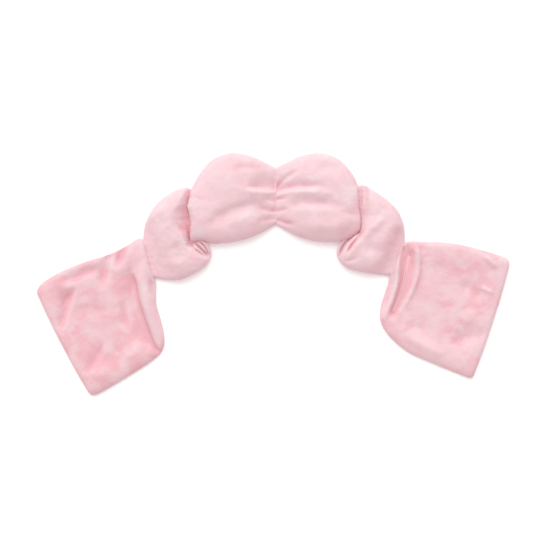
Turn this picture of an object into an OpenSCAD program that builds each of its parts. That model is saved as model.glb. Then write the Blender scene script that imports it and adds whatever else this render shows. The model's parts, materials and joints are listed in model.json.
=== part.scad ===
// Strap-free padded spa headband: four bead-filled pods between gathered seams, and two flat tails.
// It lies plush side up on a flat surface. +X runs along the band and +Y towards the forehead edge.

/* [Pods] */
// Length of an inner pod, from the centre seam to the next seam
inner_pod_length = 115; // [100:1:130]
// Height of an inner pod over its gathered edges
inner_pod_height = 122; // [105:1:140]
// Thickness of a filled inner pod above the seam line
inner_pod_loft = 22; // [14:1:26]
// Thickness of a filled outer pod above the seam line
outer_pod_loft = 20; // [12:1:24]

/* [Seams] */
// Height of the gathered seams and of the edge seam above the surface
seam_z = 3; // [2.6:0.1:3.4]
// Distance from a pod seam's fold line to the covers it joins
pod_seam_gap = 2.3; // [2.2:0.1:3]
// Distance from a tail seam's fold line to the tail's plies
tail_seam_gap = 3.4; // [3.3:0.1:5]
// Diameter of the gathering elastic
elastic_d = 2.4; // [1.6:0.1:2.6]
// Distance from each end of a seam to its elastic
elastic_inset = 2; // [1.5:0.5:3]
// Thickness of the sewing thread
thread_d = 0.4; // [0.3:0.05:0.5]
// Distance between two stitches over the elastic
stitch_pitch = 4; // [3:0.5:8]

/* [Fabric] */
// Thickness of the plush on the front
plush_t = 1.5; // [1:0.1:2]
// Thickness of the jersey on the back
jersey_t = 1.1; // [0.8:0.1:1.2]
// Thickness of the lining of the bead pouches
lining_t = 0.4; // [0.3:0.05:0.5]

/* [Tails] */
// Thickness of the plush ply of a tail
tail_plush_t = 2; // [1.5:0.1:2.4]
// Thickness of the jersey ply of a tail
tail_jersey_t = 1.2; // [0.8:0.1:1.4]
// Length of the pull-through slot in the right tail
slot_length = 88; // [70:1:92]
// Width of the slot when it is held open
slot_width = 10; // [8:0.5:11]
// Width of the facing sewn round the slot
facing_w = 3; // [2:0.5:4]
// Thickness of the facing
facing_t = 0.8; // [0.5:0.1:1.2]

/* [Hidden] */

plush_colour = [0.95, 0.79, 0.81];
jersey_colour = [0.93, 0.75, 0.78];
lining_colour = [0.96, 0.94, 0.92];
bead_colour = [0.90, 0.90, 0.88];
thread_colour = [0.91, 0.70, 0.74];

// Fold lines of the five seams, each from its forehead end to its cheek end.
centre_x = 4;
left_x = centre_x - inner_pod_length - 2;
right_x = centre_x + inner_pod_length - 2;
centre_seam = [[centre_x, 147], [centre_x, 69]];
left_pod_seam = [[left_x, 117], [left_x, 43]];
right_pod_seam = [[right_x, 122], [right_x, 59]];
left_tail_seam = from(left_pod_seam[0], [[-66, -68], [-51, -121]]);
right_tail_seam = from(right_pod_seam[0], [[64, -79], [44, -123]]);

// An inner pod's free edges, as shares of its length and height, from the centre seam outwards.
inner_top_edge = [[0.14, 0.065], [0.32, 0.139], [0.55, 0.163], [0.76, 0.08], [0.91, -0.085]];
inner_left_bottom_edge = [[0.15, -0.085], [0.31, -0.155], [0.52, -0.205], [0.8, -0.22]];
inner_right_bottom_edge = [[0.15, -0.085], [0.31, -0.155], [0.52, -0.2], [0.72, -0.195], [0.88, -0.155]];

// The outer pods' free edges from the inner pod to the tail and back, from the pod seam's forehead end.
outer_left_top_edge = [[-8, 2.5], [-23, -2], [-40, -13], [-54, -29], [-63, -48]];
outer_left_bottom_edge = [[-37, -124], [-15, -124.5], [5, -116], [21, -105], [26.5, -92], [20, -81]];
outer_right_top_edge = [[10, 0.5], [27, -10], [44, -22.5], [57, -38], [63.5, -58]];
outer_right_bottom_edge = [[28, -122], [5, -119], [-15, -113], [-27, -101], [-27, -88], [-18, -78]];

// The tails' free edges from the seam's forehead end round to its cheek end, from the forehead end.
left_tail_top_edge = [[-8, 0], [-23, -9.5], [-48, -21.5], [-81, -32], [-114, -45.5], [-138, -60],
    [-148, -72]];
left_tail_bottom_edge = [[-73, -216], [-59, -212], [-15, -186], [16, -165], [28, -150], [28.5, -131],
    [24, -111], [18, -89], [17.5, -63]];
right_tail_top_edge = [[8, 2.5], [24, 2.5], [62, 0.5], [95, -6], [128, -15.5], [142, -21], [146, -27]];
right_tail_bottom_edge = [[94, -187], [85, -184], [38, -165], [5, -150], [-20, -129], [-32, -110],
    [-33.5, -94], [-30, -78], [-23, -57]];

// Middle of the pull-through slot, a little inside the right tail's inner edge, and its turn from +Y.
slot_centre = right_tail_seam[0] + [-3.5, -57];
slot_turn = 14;

// Steepest rise of a pod from a fold line, which lets two pods fold towards each other.
fold_slope = 0.75;
// Points round a pod's outline, and its rings as shares of the way out from its middle.
outline_points = 36;
// The layers share their rings, so that they stay parallel all over.
cover_rings = [1, 0.97, 0.92, 0.84, 0.7, 0.5, 0.27];
pouch_rings = [0.92, 0.84, 0.7, 0.5, 0.27];
bead_rings = [0.84, 0.7, 0.5, 0.27];
// Air between the layers of a pod.
layer_gap = 0.15;
// Points on each stretch of a smooth edge.
edge_steps = 5;

// ---------- curves ----------

// A smooth curve through points, with edge_steps points on each stretch (Catmull-Rom).
function spline(p) =
    let (last = len(p) - 1)
    concat([for (i = [0:last - 1], k = [0:edge_steps - 1])
        let (
            a = p[max(i - 1, 0)], b = p[i], c = p[i + 1], d = p[min(i + 2, last)],
            t = k / edge_steps
        )
        0.5 * (2 * b + (c - a) * t + (2 * a - 5 * b + 4 * c - d) * t * t
            + (3 * b - a - 3 * c + d) * t * t * t)
    ], [p[last]]);

function shifted(seam, gap) =
    let (along = seam[1] - seam[0], across = [-along.y, along.x] / norm(along))
    [seam[0] + across * gap, seam[1] + across * gap];

function reversed(list) = [for (i = [len(list) - 1:-1:0]) list[i]];

function from(origin, offsets) = [for (offset = offsets) origin + offset];

// Distance from a point to a seam.
function seam_distance(p, seam) =
    let (
        along = seam[1] - seam[0],
        share = min(1, max(0, (p - seam[0]) * along / (along * along)))
    )
    norm(p - seam[0] - along * share);

// Where the ray from the middle at an angle leaves the outline.
function reach(outline, middle, angle) =
    let (
        ray = [cos(angle), sin(angle)],
        hits = [for (i = [0:len(outline) - 1])
            let (
                a = outline[i] - middle,
                b = outline[(i + 1) % len(outline)] - middle,
                side = b - a,
                turn = ray.x * side.y - ray.y * side.x
            )
            if (abs(turn) > 1e-9)
                let (
                    far = (a.x * side.y - a.y * side.x) / turn,
                    share = (a.x * ray.y - a.y * ray.x) / turn
                )
                if (far > 0 && share >= -1e-9 && share <= 1 + 1e-9) far]
    )
    max(hits);

// ---------- pods ----------

function inner_edge(shares, root, side, length) =
    from(root, [for (share = shares) [side * share.x * length, share.y * inner_pod_height]]);

function pod_outline(first_seam, top, last_seam, bottom) =
    concat(spline(concat([first_seam[0]], top, [last_seam[0]])),
        spline(concat([last_seam[1]], bottom, [first_seam[1]])));

// Each pod is [outline, middle, loft, seams that bound it].
inner_left_pod = [
    pod_outline(shifted(centre_seam, -pod_seam_gap),
        inner_edge(inner_top_edge, centre_seam[0], -1, centre_x - left_x),
        shifted(left_pod_seam, pod_seam_gap),
        reversed(inner_edge(inner_left_bottom_edge, centre_seam[1], -1, centre_x - left_x))),
    centre_seam[0] + [-60, -43], inner_pod_loft, [centre_seam, left_pod_seam]];
inner_right_pod = [
    pod_outline(shifted(centre_seam, pod_seam_gap),
        inner_edge(inner_top_edge, centre_seam[0], 1, right_x - centre_x),
        shifted(right_pod_seam, -pod_seam_gap),
        reversed(inner_edge(inner_right_bottom_edge, centre_seam[1], 1, right_x - centre_x))),
    centre_seam[0] + [58, -42], inner_pod_loft, [centre_seam, right_pod_seam]];
outer_left_pod = [
    pod_outline(shifted(left_pod_seam, -pod_seam_gap), from(left_pod_seam[0], outer_left_top_edge),
        shifted(left_tail_seam, pod_seam_gap), from(left_pod_seam[0], outer_left_bottom_edge)),
    left_pod_seam[0] + [-24, -80], outer_pod_loft, [left_pod_seam, left_tail_seam]];
outer_right_pod = [
    pod_outline(shifted(right_pod_seam, pod_seam_gap), from(right_pod_seam[0], outer_right_top_edge),
        shifted(right_tail_seam, -pod_seam_gap), from(right_pod_seam[0], outer_right_bottom_edge)),
    right_pod_seam[0] + [23, -80], outer_pod_loft, [right_pod_seam, right_tail_seam]];

// Height of a pod's crown above the seam line at a point that is a share s of the way out.
function crown(pod, p, s) =
    max(plush_t, min(concat([pod[2] * pow(1 - pow(s, 2.6), 0.62)],
        [for (seam = pod[3]) fold_slope * seam_distance(p, seam)])));

// Depth of a pod's underside below the seam line.
function belly(pod, p, s) =
    max(jersey_t, min(concat([seam_z, seam_z * (1 - s) / 0.05],
        [for (seam = pod[3]) fold_slope * seam_distance(p, seam)])));

// Height of the back cover's inner face.
function hollow_floor(pod, p, s) = seam_z - max(0, belly(pod, p, s) - jersey_t);

// A closed solid over the rings of a pod, between two heights given as functions of a point and its ring.
module layer(pod, rings, top, bottom) {
    reaches = [for (i = [0:outline_points - 1]) reach(pod[0], pod[1], i * 360 / outline_points)];
    flat_points = [for (s = rings, i = [0:outline_points - 1])
        let (angle = i * 360 / outline_points)
        [pod[1] + s * reaches[i] * [cos(angle), sin(angle)], s]];
    places = concat(flat_points, [[pod[1], 0]]);
    count = len(places);
    points = concat(
        [for (q = places) [q[0].x, q[0].y, top(q[0], q[1])]],
        [for (q = places) [q[0].x, q[0].y, bottom(q[0], q[1])]]);
    function at(ring, i) = ring * outline_points + i % outline_points;
    ring_last = len(rings) - 1;
    quads = [for (r = [0:ring_last - 1], i = [0:outline_points - 1])
        [at(r, i), at(r + 1, i), at(r + 1, i + 1), at(r, i + 1)]];
    fan = [for (i = [0:outline_points - 1]) [at(ring_last, i), count - 1, at(ring_last, i + 1)]];
    upper = concat([for (q = quads) [q[0], q[1], q[2]]], [for (q = quads) [q[0], q[2], q[3]]], fan);
    lower = [for (f = upper) [f[0] + count, f[2] + count, f[1] + count]];
    wall = [for (i = [0:outline_points - 1])
        let (a = at(0, i), b = at(0, i + 1))
        each [[a, b, b + count], [a, b + count, a + count]]];
    polyhedron(points = points, faces = concat(upper, lower, wall));
}

module cover_front(pod) {
    color(plush_colour)
        layer(pod, cover_rings,
            function (p, s) seam_z + crown(pod, p, s),
            function (p, s) seam_z + max(0, crown(pod, p, s) - plush_t));
}

module cover_back(pod) {
    color(jersey_colour)
        layer(pod, cover_rings,
            function (p, s) hollow_floor(pod, p, s),
            function (p, s) seam_z - belly(pod, p, s));
}

module pouch_front(pod) {
    color(lining_colour)
        layer(pod, pouch_rings,
            function (p, s) seam_z + crown(pod, p, s) - plush_t - layer_gap,
            function (p, s) s == pouch_rings[0] ? seam_z
                : seam_z + crown(pod, p, s) - plush_t - layer_gap - lining_t);
}

module pouch_back(pod) {
    color(lining_colour)
        layer(pod, pouch_rings,
            function (p, s) s == pouch_rings[0] ? seam_z - layer_gap
                : hollow_floor(pod, p, s) + layer_gap + lining_t,
            function (p, s) hollow_floor(pod, p, s) + layer_gap);
}

module beads(pod) {
    color(bead_colour)
        layer(pod, bead_rings,
            function (p, s) seam_z + crown(pod, p, s) - plush_t - 2 * layer_gap - lining_t,
            function (p, s) hollow_floor(pod, p, s) + 2 * layer_gap + lining_t);
}

// ---------- gathered seams ----------

// Children drawn along +Z from a seam's forehead end, laid along the seam.
module along_seam(seam) {
    run = seam[1] - seam[0];
    translate([seam[0].x, seam[0].y, seam_z])
        rotate([90, 0, atan2(run.y, run.x) + 90])
            children();
}

module elastic(seam) {
    color(jersey_colour)
        along_seam(seam)
            translate([0, 0, elastic_inset])
                cylinder(h = norm(seam[1] - seam[0]) - 2 * elastic_inset, d = elastic_d, $fn = 32);
}

// Loops of thread that catch the elastic.
module stitches(seam) {
    count = floor((norm(seam[1] - seam[0]) - 2 * elastic_inset) / stitch_pitch);
    color(thread_colour)
        along_seam(seam)
            for (i = [0:count - 1])
                translate([0, 0, elastic_inset + (i + 0.5) * stitch_pitch])
                    rotate_extrude($fn = 24)
                        translate([elastic_d / 2 + 0.02, -thread_d / 2])
                            square([thread_d, thread_d]);
}

// ---------- tails ----------

// A tail's outline: smooth along both long edges, with sharp corners at its far end.
function tail_outline(seam, root, top, bottom) =
    concat(spline(concat([root[0]], from(seam[0], top))), spline(concat(from(seam[0], bottom), [root[1]])));

left_tail_outline = tail_outline(left_tail_seam, shifted(left_tail_seam, -tail_seam_gap),
    left_tail_top_edge, left_tail_bottom_edge);
right_tail_outline = tail_outline(right_tail_seam, shifted(right_tail_seam, tail_seam_gap),
    right_tail_top_edge, right_tail_bottom_edge);

// The slot's rounded outline, wider all round by grow.
module slot_shape(grow) {
    straight = slot_length - slot_width;
    translate(slot_centre)
        rotate(-slot_turn) {
            square([slot_width + 2 * grow, straight], center = true);
            for (end = [-1, 1])
                translate([0, end * straight / 2])
                    circle(d = slot_width + 2 * grow, $fn = 48);
        }
}

module tail_ply(outline, bottom, thickness, slotted) {
    translate([0, 0, bottom])
        linear_extrude(thickness)
            difference() {
                polygon(outline);
                if (slotted) slot_shape(0);
            }
}

module plush_tail_ply(outline, slotted) {
    color(plush_colour) tail_ply(outline, tail_jersey_t, tail_plush_t, slotted);
}

module jersey_tail_ply(outline, slotted) {
    color(jersey_colour) tail_ply(outline, 0, tail_jersey_t, slotted);
}

// A flat ring of fabric sewn round the slot on the plush side.
module slot_facing() {
    color(jersey_colour)
        translate([0, 0, tail_jersey_t + tail_plush_t])
            linear_extrude(facing_t)
                difference() {
                    slot_shape(facing_w);
                    slot_shape(0);
                }
}

// A bar of close stitches across each end of the slot, on top of the facing.
module slot_bartacks() {
    bar = [slot_width, 1.6, 0.6];
    color(thread_colour)
        translate([slot_centre.x, slot_centre.y, tail_jersey_t + tail_plush_t + facing_t])
            rotate(-slot_turn)
                for (end = [-1, 1])
                    translate([-bar.x / 2, end * (slot_length / 2 + facing_w / 2) - bar.y / 2, 0])
                        cube(bar);
}

cover_front(inner_left_pod);  // inner_left_cover_front
cover_back(inner_left_pod);  // inner_left_cover_back
pouch_front(inner_left_pod);  // inner_left_pouch_front
pouch_back(inner_left_pod);  // inner_left_pouch_back
beads(inner_left_pod);  // inner_left_beads
cover_front(inner_right_pod);  // inner_right_cover_front
cover_back(inner_right_pod);  // inner_right_cover_back
pouch_front(inner_right_pod);  // inner_right_pouch_front
pouch_back(inner_right_pod);  // inner_right_pouch_back
beads(inner_right_pod);  // inner_right_beads
cover_front(outer_left_pod);  // outer_left_cover_front
cover_back(outer_left_pod);  // outer_left_cover_back
pouch_front(outer_left_pod);  // outer_left_pouch_front
pouch_back(outer_left_pod);  // outer_left_pouch_back
beads(outer_left_pod);  // outer_left_beads
cover_front(outer_right_pod);  // outer_right_cover_front
cover_back(outer_right_pod);  // outer_right_cover_back
pouch_front(outer_right_pod);  // outer_right_pouch_front
pouch_back(outer_right_pod);  // outer_right_pouch_back
beads(outer_right_pod);  // outer_right_beads
elastic(centre_seam);  // centre_seam_elastic
elastic(left_pod_seam);  // left_pod_seam_elastic
elastic(right_pod_seam);  // right_pod_seam_elastic
elastic(left_tail_seam);  // left_tail_seam_elastic
elastic(right_tail_seam);  // right_tail_seam_elastic
stitches(centre_seam);  // centre_seam_thread
stitches(left_pod_seam);  // left_pod_seam_thread
stitches(right_pod_seam);  // right_pod_seam_thread
stitches(left_tail_seam);  // left_tail_seam_thread
stitches(right_tail_seam);  // right_tail_seam_thread
plush_tail_ply(left_tail_outline, false);  // left_tail_ply_front
jersey_tail_ply(left_tail_outline, false);  // left_tail_ply_back
plush_tail_ply(right_tail_outline, true);  // right_tail_ply_front
jersey_tail_ply(right_tail_outline, true);  // right_tail_ply_back
slot_facing();
slot_bartacks();
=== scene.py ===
"""The looks of a plush spa headband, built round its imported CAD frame.

Every skin is a fine mesh over the same plan as its CAD cover. A membrane blown up over that plan gives the
pods their roundness, the gathered seams pinch them, and folds are laid in where the band really creases.
Lengths in this file are millimetres until a piece is made. The frame's hinges say where the seams lie.
"""

import json

import bpy
import numpy as np
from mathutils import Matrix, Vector, noise
from mathutils.bvhtree import BVHTree
from mathutils.geometry import delaunay_2d_cdt


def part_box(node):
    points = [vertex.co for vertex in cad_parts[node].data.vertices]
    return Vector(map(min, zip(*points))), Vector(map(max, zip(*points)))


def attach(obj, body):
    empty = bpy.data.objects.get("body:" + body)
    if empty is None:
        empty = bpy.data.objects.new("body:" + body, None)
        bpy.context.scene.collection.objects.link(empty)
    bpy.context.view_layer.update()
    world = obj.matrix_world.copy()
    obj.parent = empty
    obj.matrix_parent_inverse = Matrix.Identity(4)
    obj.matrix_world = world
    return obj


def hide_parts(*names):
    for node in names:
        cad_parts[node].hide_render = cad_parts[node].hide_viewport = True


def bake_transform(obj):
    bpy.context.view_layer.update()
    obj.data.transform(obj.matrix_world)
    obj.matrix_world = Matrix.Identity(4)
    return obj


MM = 0.001

# ---------- the frame ----------

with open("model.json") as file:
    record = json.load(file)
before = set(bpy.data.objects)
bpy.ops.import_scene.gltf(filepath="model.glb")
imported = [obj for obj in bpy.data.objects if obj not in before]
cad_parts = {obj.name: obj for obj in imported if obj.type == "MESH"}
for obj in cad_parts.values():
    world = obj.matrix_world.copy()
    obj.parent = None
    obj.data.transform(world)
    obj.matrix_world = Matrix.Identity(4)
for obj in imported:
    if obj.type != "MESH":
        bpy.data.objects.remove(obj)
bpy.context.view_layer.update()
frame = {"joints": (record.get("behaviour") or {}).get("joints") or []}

SEAM_LENGTHS = {
    "centre": 78,
    "left_pod": 74,
    "right_pod": 63,
    "left_tail": 55.1,
    "right_tail": 48.3,
}
SEAM_BODIES = {
    "centre": ("inner_left_pod", "inner_right_pod"),
    "left_pod": ("inner_left_pod", "outer_left_pod"),
    "right_pod": ("inner_right_pod", "outer_right_pod"),
    "left_tail": ("outer_left_pod", "left_tail"),
    "right_tail": ("outer_right_pod", "right_tail"),
}


def seam_line(name):
    """A seam's two ends in plan, forehead end first, from the axis of its joint."""
    joint = next(j for j in frame["joints"] if j["name"] == name + "_fold")
    middle = np.array(joint["pos_m"][:2]) / MM
    along = np.array(joint["axis"][:2])
    if along[1] > 0:
        along = -along
    half = SEAM_LENGTHS[name] / 2
    return np.array([middle - along * half, middle + along * half])


SEAMS = {name: seam_line(name) for name in SEAM_LENGTHS}
SEAM_Z = frame["joints"][0]["pos_m"][2] / MM

# ---------- curves and distances in plan ----------


def spline(points, step=1.5):
    """A smooth curve through points, as points about one step apart."""
    p = np.array(points, float)
    p = np.vstack([2 * p[0] - p[1], p, 2 * p[-1] - p[-2]])
    fine = []
    for a, b, c, d in zip(p[:-3], p[1:-2], p[2:-1], p[3:]):
        for t in np.linspace(0, 1, 24, endpoint=False):
            fine.append(
                0.5 * (2 * b + (c - a) * t + (2 * a - 5 * b + 4 * c - d) * t**2
                       + (3 * b - a - 3 * c + d) * t**3)
            )
    fine = np.array(fine + [p[-2]])
    along = np.concatenate([[0], np.cumsum(np.linalg.norm(np.diff(fine, axis=0), axis=1))])
    places = np.linspace(0, along[-1], max(2, round(along[-1] / step) + 1))
    return np.stack([np.interp(places, along, fine[:, k]) for k in (0, 1)], axis=1)


def to_line(points, line):
    """Each point's distance to a line, its share of the way along it, and the side it is on."""
    a, b = line[:-1], line[1:]
    side = b - a
    length = np.linalg.norm(side, axis=1)
    start = np.concatenate([[0], np.cumsum(length)])
    best = np.full(len(points), 1e9)
    share = np.zeros(len(points))
    turn = np.zeros(len(points))
    for k in range(len(a)):
        off = points - a[k]
        t = np.clip(off @ side[k] / max(length[k] ** 2, 1e-12), 0, 1)
        away = off - t[:, None] * side[k]
        far = np.hypot(away[:, 0], away[:, 1])
        near = far < best
        best[near] = far[near]
        share[near] = (start[k] + t[near] * length[k]) / start[-1]
        turn[near] = np.sign(side[k][0] * off[near, 1] - side[k][1] * off[near, 0])
    return best, share, turn


def inside(points, loop):
    """Which points lie inside a closed loop."""
    hits = np.zeros(len(points), bool)
    for a, b in zip(loop, np.roll(loop, -1, axis=0)):
        crosses = (a[1] > points[:, 1]) != (b[1] > points[:, 1])
        x = (b[0] - a[0]) * (points[:, 1] - a[1]) / (b[1] - a[1] + 1e-12) + a[0]
        hits ^= crosses & (points[:, 0] < x)
    return hits


def smooth(t):
    """An even start and stop between 0 and 1."""
    t = np.clip(t, 0, 1)
    return t * t * (3 - 2 * t)


def wobble(points, size, seed):
    """Soft noise from about -1 to 1 over plan points, with features of a size in millimetres."""
    return np.array([noise.noise(Vector((x / size, y / size, seed * 7.3))) for x, y in points])


def direction(line):
    return (line[1] - line[0]) / np.linalg.norm(line[1] - line[0])


def bumpy(points, layers):
    return sum(height * wobble(points, size, seed) for height, size, seed in layers)


# ---------- the plan of each part of the band ----------

EDGE_RINGS = (0.35, 0.9, 1.8)
FAR_BOW = 2.6
ON_EDGE = 1e-3
ROW_HEIGHT = 0.866
INFLATE_STEPS = 900
INFLATE_DONE = 1e-12
# How wide the tails' top, bottom and far edges roll.
TAIL_ROLLS = (8, 16, 5)


class Part:
    """A pod or tail: its plan mesh, and what its surface is worked out from."""

    def __init__(self, name, body, seams, top, bottom, spacing, slit=None):
        """top and bottom are the free edges' points between the first seam and the last one."""
        self.name, self.body, self.seams, self.slit = name, body, seams, slit
        first = SEAMS[seams[0]]
        last = SEAMS[seams[1]] if len(seams) > 1 else None
        free_top = spline([first[0], *top] + ([last[0]] if last is not None else []))
        free_bottom = spline([first[1], *bottom] + ([last[1]] if last is not None else []))
        self.free = [free_top, free_bottom]
        if last is None:
            far_end = bowed(free_top[-1], free_bottom[-1])
            self.free = [rounded(rounded(free_top, far_end), free_bottom[::-1])]
            self.rolls = list(zip(TAIL_ROLLS, (free_top, free_bottom, far_end)))
            around = [self.free[0][:-1]]
        else:
            around = [free_top[:-1], seam_points(seams[1])[:-1], free_bottom[::-1][:-1]]
        self.loop = np.vstack([*around, seam_points(seams[0])[::-1][:-1]])
        self.points, self.triangles = plan_mesh(self.loop, spacing, slit)
        self.to_edge = np.min([to_line(self.points, e)[0] for e in self.free], axis=0)
        self.to_seam = {s: to_line(self.points, SEAMS[s])[0] for s in seams}
        self.puff = inflate(self.points, self.triangles, self.to_edge < ON_EDGE)


def straight(a, b, step=1.5):
    """Points about one step apart on a straight line."""
    count = round(np.linalg.norm(b - a) / step)
    return a + np.linspace(0, 1, count + 1)[:, None] * (b - a)


def rounded(line, next_line, radius=5):
    """Two lines that meet at a corner, joined with the corner rounded off."""
    corner = line[-1]
    before = line[np.linalg.norm(line - corner, axis=1) > radius]
    after = next_line[np.linalg.norm(next_line - corner, axis=1) > radius]
    t = np.linspace(0, 1, 7)[1:-1, None]
    bend = (1 - t) ** 2 * before[-1] + 2 * t * (1 - t) * corner + t**2 * after[0]
    return np.vstack([before, bend, after])


def bowed(a, b):
    """A tail's far edge, bowed out a little from one corner to the other."""
    out = np.array([-(b - a)[1], (b - a)[0]]) / np.linalg.norm(b - a)
    out *= np.sign(out @ a)
    return spline([a, a + 0.25 * (b - a) + 0.8 * FAR_BOW * out, (a + b) / 2 + FAR_BOW * out,
                   a + 0.75 * (b - a) + 0.8 * FAR_BOW * out, b])


def seam_points(name):
    return straight(*SEAMS[name])


def inward(ring):
    """Unit vectors that point into a closed ring from each of its points."""
    ahead = np.roll(ring, -1, axis=0) - np.roll(ring, 1, axis=0)
    into = np.stack([-ahead[:, 1], ahead[:, 0]], axis=1) / np.linalg.norm(ahead, axis=1)[:, None]
    into[~inside(ring + 0.05 * into, ring)] *= -1
    return into


def inset(loop, depth, spacing):
    """A closed loop moved inwards by a depth, with points about one spacing apart."""
    ring = loop + depth * inward(loop)
    far = to_line(ring, np.vstack([loop, loop[:1]]))[0]
    ring = ring[(far > 0.98 * depth) & inside(ring, loop)]
    ring = np.vstack([ring, ring[:1]])
    along = np.concatenate([[0], np.cumsum(np.linalg.norm(np.diff(ring, axis=0), axis=1))])
    places = np.linspace(0, along[-1], round(along[-1] / spacing), endpoint=False)
    return np.stack([np.interp(places, along, ring[:, k]) for k in (0, 1)], axis=1)


def plan_mesh(loop, spacing, hole=None):
    """Even triangles inside a loop, with extra rows of points close to its edge."""
    loops = [loop] + ([hole] if hole is not None else [])
    rows = []
    for k, ring in enumerate(loops):
        into = inward(ring) * (1 if k == 0 else -1)
        rows += [(ring + d * into, d) for d in EDGE_RINGS]
    low, high = loop.min(0), loop.max(0)
    lattice = np.array([
        (x + (spacing / 2 if row % 2 else 0), y)
        for row, y in enumerate(np.arange(low[1], high[1], spacing * ROW_HEIGHT))
        for x in np.arange(low[0], high[0], spacing)
    ])
    rows.append((lattice, EDGE_RINGS[-1] + 0.6 * spacing))
    kept = []
    closed = [np.vstack([ring, ring[:1]]) for ring in loops]
    for points, clear in rows:
        far = np.min([to_line(points, ring)[0] for ring in closed], axis=0)
        ok = inside(points, loop) & (far > clear * 0.9)
        if hole is not None:
            ok &= ~inside(points, hole)
        kept.append(points[ok])
    edges, start = [], 0
    for ring in loops:
        count = len(ring)
        edges += [(start + i, start + (i + 1) % count) for i in range(count)]
        start += count
    corners = [Vector(p) for p in np.vstack(loops + kept)]
    made = delaunay_2d_cdt(corners, edges, [], 0, 1e-4)
    points = np.array([tuple(v) for v in made[0]])
    triangles = np.array([f for f in made[2] if len(f) == 3])
    middles = points[triangles].mean(axis=1)
    ok = inside(middles, loop)
    if hole is not None:
        ok &= ~inside(middles, hole)
    triangles = triangles[ok]
    a, b, c = (points[triangles[:, k]] for k in range(3))
    area = (b - a)[:, 0] * (c - a)[:, 1] - (b - a)[:, 1] * (c - a)[:, 0]
    triangles[area < 0] = triangles[area < 0][:, ::-1]
    triangles = triangles[np.abs(area) > 1e-4]
    used, index = np.unique(triangles, return_inverse=True)
    return points[used], index.reshape(-1, 3)


def inflate(points, triangles, held):
    """Height, from 0 to 1, of a membrane blown up over a mesh and held down at some of its points."""
    pairs, weights = [], []
    area = np.zeros(len(points))
    for k in range(3):
        i, j, o = triangles[:, k], triangles[:, (k + 1) % 3], triangles[:, (k + 2) % 3]
        u, v = points[i] - points[o], points[j] - points[o]
        cross = np.abs(u[:, 0] * v[:, 1] - u[:, 1] * v[:, 0])
        pairs.append(np.stack([i, j], axis=1))
        weights.append((u * v).sum(1) / cross / 2)
        area += np.bincount(i, cross / 6, len(points))
    i, j = np.vstack(pairs).T
    w = np.concatenate(weights)
    diagonal = np.bincount(i, w, len(points)) + np.bincount(j, w, len(points))
    free = ~held

    def stiff(x):
        return diagonal * x - np.bincount(i, w * x[j], len(x)) - np.bincount(j, w * x[i], len(x))

    height = np.zeros(len(points))
    rest = area * free
    step = rest / diagonal
    energy = rest @ step
    for _ in range(INFLATE_STEPS):
        pull = stiff(step) * free
        share = energy / (step @ pull)
        height += share * step
        rest -= share * pull
        scaled = rest / diagonal
        energy, before = rest @ scaled, energy
        if energy < INFLATE_DONE:
            break
        step = scaled + energy / before * step
    return height / height.max()


def offsets(origin, points):
    return [origin + np.array(p, float) for p in points]


INNER_LENGTH = 117
INNER_HEIGHT = 122


def shares(origin, side, points):
    return [origin + np.array([side * x * INNER_LENGTH, y * INNER_HEIGHT]) for x, y in points]


INNER_TOP = [(0.14, 0.065), (0.32, 0.139), (0.55, 0.163), (0.76, 0.08), (0.91, -0.085)]
INNER_LEFT_BOTTOM = [(0.15, -0.085), (0.31, -0.155), (0.52, -0.205), (0.74, -0.218), (0.85, -0.187),
                     (0.94, -0.19)]
INNER_RIGHT_BOTTOM = [(0.15, -0.085), (0.31, -0.155), (0.52, -0.2), (0.72, -0.195), (0.88, -0.155)]
OUTER_LEFT_TOP = [(-8, 2.5), (-23, -2), (-40, -13), (-54, -29), (-63, -48)]
OUTER_LEFT_BOTTOM = [(5, -70.5), (14, -69), (22, -73.5), (26.6, -82), (27.4, -91.5), (20.6, -104.8),
                     (5, -116), (-15, -124.5), (-37, -124)]
OUTER_RIGHT_TOP = [(10, 0.5), (27, -10), (44, -22.5), (57, -38), (63.5, -58)]
OUTER_RIGHT_BOTTOM = [(-10, -68), (-21, -75), (-28, -85), (-29, -96), (-22, -108), (-12, -114.5),
                      (5, -119), (28, -122)]
LEFT_TAIL_TOP = [(-8, 0), (-23, -9.5), (-48, -21.5), (-81, -32), (-114, -45.5), (-138, -60), (-148, -72)]
LEFT_TAIL_BOTTOM = [(17.5, -63), (18, -89), (24, -111), (28.5, -131), (28, -150), (16, -165), (-15, -186),
                    (-59, -212), (-73, -216)]
RIGHT_TAIL_TOP = [(8, 2.5), (24, 2.5), (62, 0.5), (95, -6), (128, -15.5), (142, -21), (146, -27)]
RIGHT_TAIL_BOTTOM = [(-23, -57), (-30, -78), (-33.5, -94), (-32, -110), (-20, -129), (5, -150), (38, -165),
                     (85, -184), (94, -187)]

SLIT_WIDTH = 1.1
SLIT_ROUTE = [(10.5, 42.7), (7, 24), (3, 4), (-3.5, -16), (-12.5, -38)]


def slit_loop():
    """The pull-through slot as it lies, almost closed, along the middle of its CAD facing."""
    low, high = (np.array(corner[:2]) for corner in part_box("slot_facing"))
    route = spline((low + high) / 2 / MM + np.array(SLIT_ROUTE), 1.5)
    ahead = np.gradient(route, axis=0)
    across = np.stack([-ahead[:, 1], ahead[:, 0]], axis=1) / np.linalg.norm(ahead, axis=1)[:, None]
    half = SLIT_WIDTH / 2 * np.sqrt(np.sin(np.pi * np.linspace(0, 1, len(route))))
    return np.vstack([route + half[:, None] * across, (route - half[:, None] * across)[-2:0:-1]])


centre, left_pod, right_pod = SEAMS["centre"], SEAMS["left_pod"], SEAMS["right_pod"]
left_tail, right_tail = SEAMS["left_tail"], SEAMS["right_tail"]
SLIT = slit_loop()

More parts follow.
